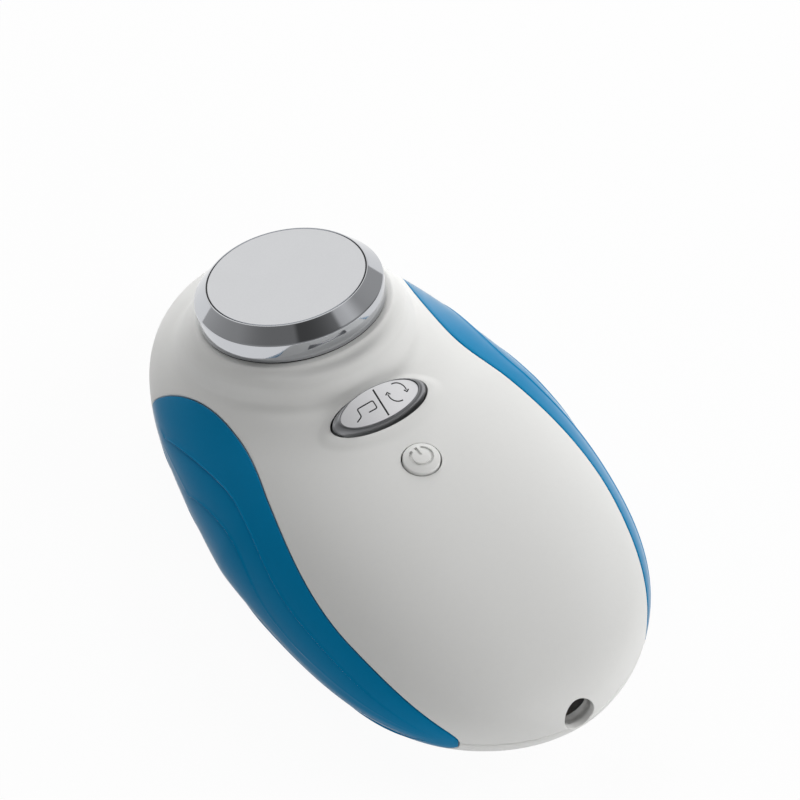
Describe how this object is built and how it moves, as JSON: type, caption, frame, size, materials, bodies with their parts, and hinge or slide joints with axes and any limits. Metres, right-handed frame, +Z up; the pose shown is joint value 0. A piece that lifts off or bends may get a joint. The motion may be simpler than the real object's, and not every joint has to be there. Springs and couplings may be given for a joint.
{
  "type": "facial toning device",
  "caption": "Palm-held egg-shaped toner with side grips, a tilted round treatment head, a rocking mode key, a round power key and a plug inlet in the tail.",
  "frame": {"origin": "on the surface the device lies on, under the middle of its length and width", "axes": "+Y along the case towards the treatment head, +Z up out of the crown with the keys, +X to the right-hand grip"},
  "size_m": [0.0766, 0.1324, 0.04],
  "materials": {
    "shell_white": "satin gloss moulded housing",
    "grip_blue": "smooth soft-touch grip",
    "head_chrome": "mirror bevel and band, satin face",
    "seal_black": "matte",
    "nut_steel": "plain",
    "piezo_ceramic": "matte",
    "lead_red": "insulated wire",
    "rocker_metal": "dark bright plating",
    "plate_satin": "satin",
    "steel": "plain",
    "key_white": "satin gloss",
    "board_green": "matte",
    "switch_black": "matte",
    "plunger_cream": "matte",
    "contact_gold": "plated",
    "ferrite": "matte",
    "winding": "taped winding",
    "capacitor_blue": "sleeved",
    "sink_aluminium": "plain",
    "resistor_tan": "matte"
  },
  "bodies": {
    "case": {"upper_shell": "shell_white", "lower_shell": "shell_white", "grip_left": "grip_blue", "grip_right": "grip_blue", "treatment_head": "head_chrome", "head_seal": "seal_black", "head_nut": "nut_steel", "piezo_disc": "piezo_ceramic", "piezo_leads": "lead_red", "rocker_pin": "steel", "control_board": "board_green", "board_screws": "steel", "case_screws": "steel", "power_switch": "switch_black", "mode_switch_left": "switch_black", "mode_switch_right": "switch_black", "dc_jack": "switch_black", "jack_contact": "contact_gold", "transformer_core": "ferrite", "transformer_winding": "winding", "capacitors": "capacitor_blue", "control_chip": "switch_black", "power_transistor": "switch_black", "heat_sink": "sink_aluminium", "resistors": "resistor_tan"},
    "power_key": {"power_button": "key_white"},
    "power_plunger": {"power_plunger": "plunger_cream"},
    "mode_key": {"mode_rocker": "rocker_metal", "mode_plate": "plate_satin"},
    "mode_plunger_left": {"mode_plunger_left": "plunger_cream"},
    "mode_plunger_right": {"mode_plunger_right": "plunger_cream"}
  },
  "joints": [
    {"name": "power_press", "type": "slide", "parent": "case", "child": "power_key", "axis": [0, 0, -1], "range_m": [0, 0.0003], "stiffness_N_per_m": 1500, "springref_m": -0.0004},
    {"name": "power_plunger_slide", "type": "slide", "parent": "case", "child": "power_plunger", "axis": [0, 0, -1], "range_m": [0, 0.0003]},
    {"name": "mode_rock", "type": "hinge", "parent": "case", "child": "mode_key", "pos_m": [0, 0.00396, 0.02345], "axis": [0, 1, 0], "range_deg": [-2.4, 2.4], "stiffness_Nm_per_rad": 0.147},
    {"name": "mode_plunger_left_slide", "type": "slide", "parent": "case", "child": "mode_plunger_left", "axis": [0, 0, 1], "range_m": [-0.0003, 0.0003]},
    {"name": "mode_plunger_right_slide", "type": "slide", "parent": "case", "child": "mode_plunger_right", "axis": [0, 0, 1], "range_m": [-0.0003, 0.0003]}
  ],
  "couplings": [
    {"joint": "power_plunger_slide", "follows": "power_press", "ratio": 1},
    {"joint": "mode_plunger_left_slide", "follows": "mode_rock", "m_per_rad": 0.007},
    {"joint": "mode_plunger_right_slide", "follows": "mode_rock", "m_per_rad": -0.007}
  ]
}
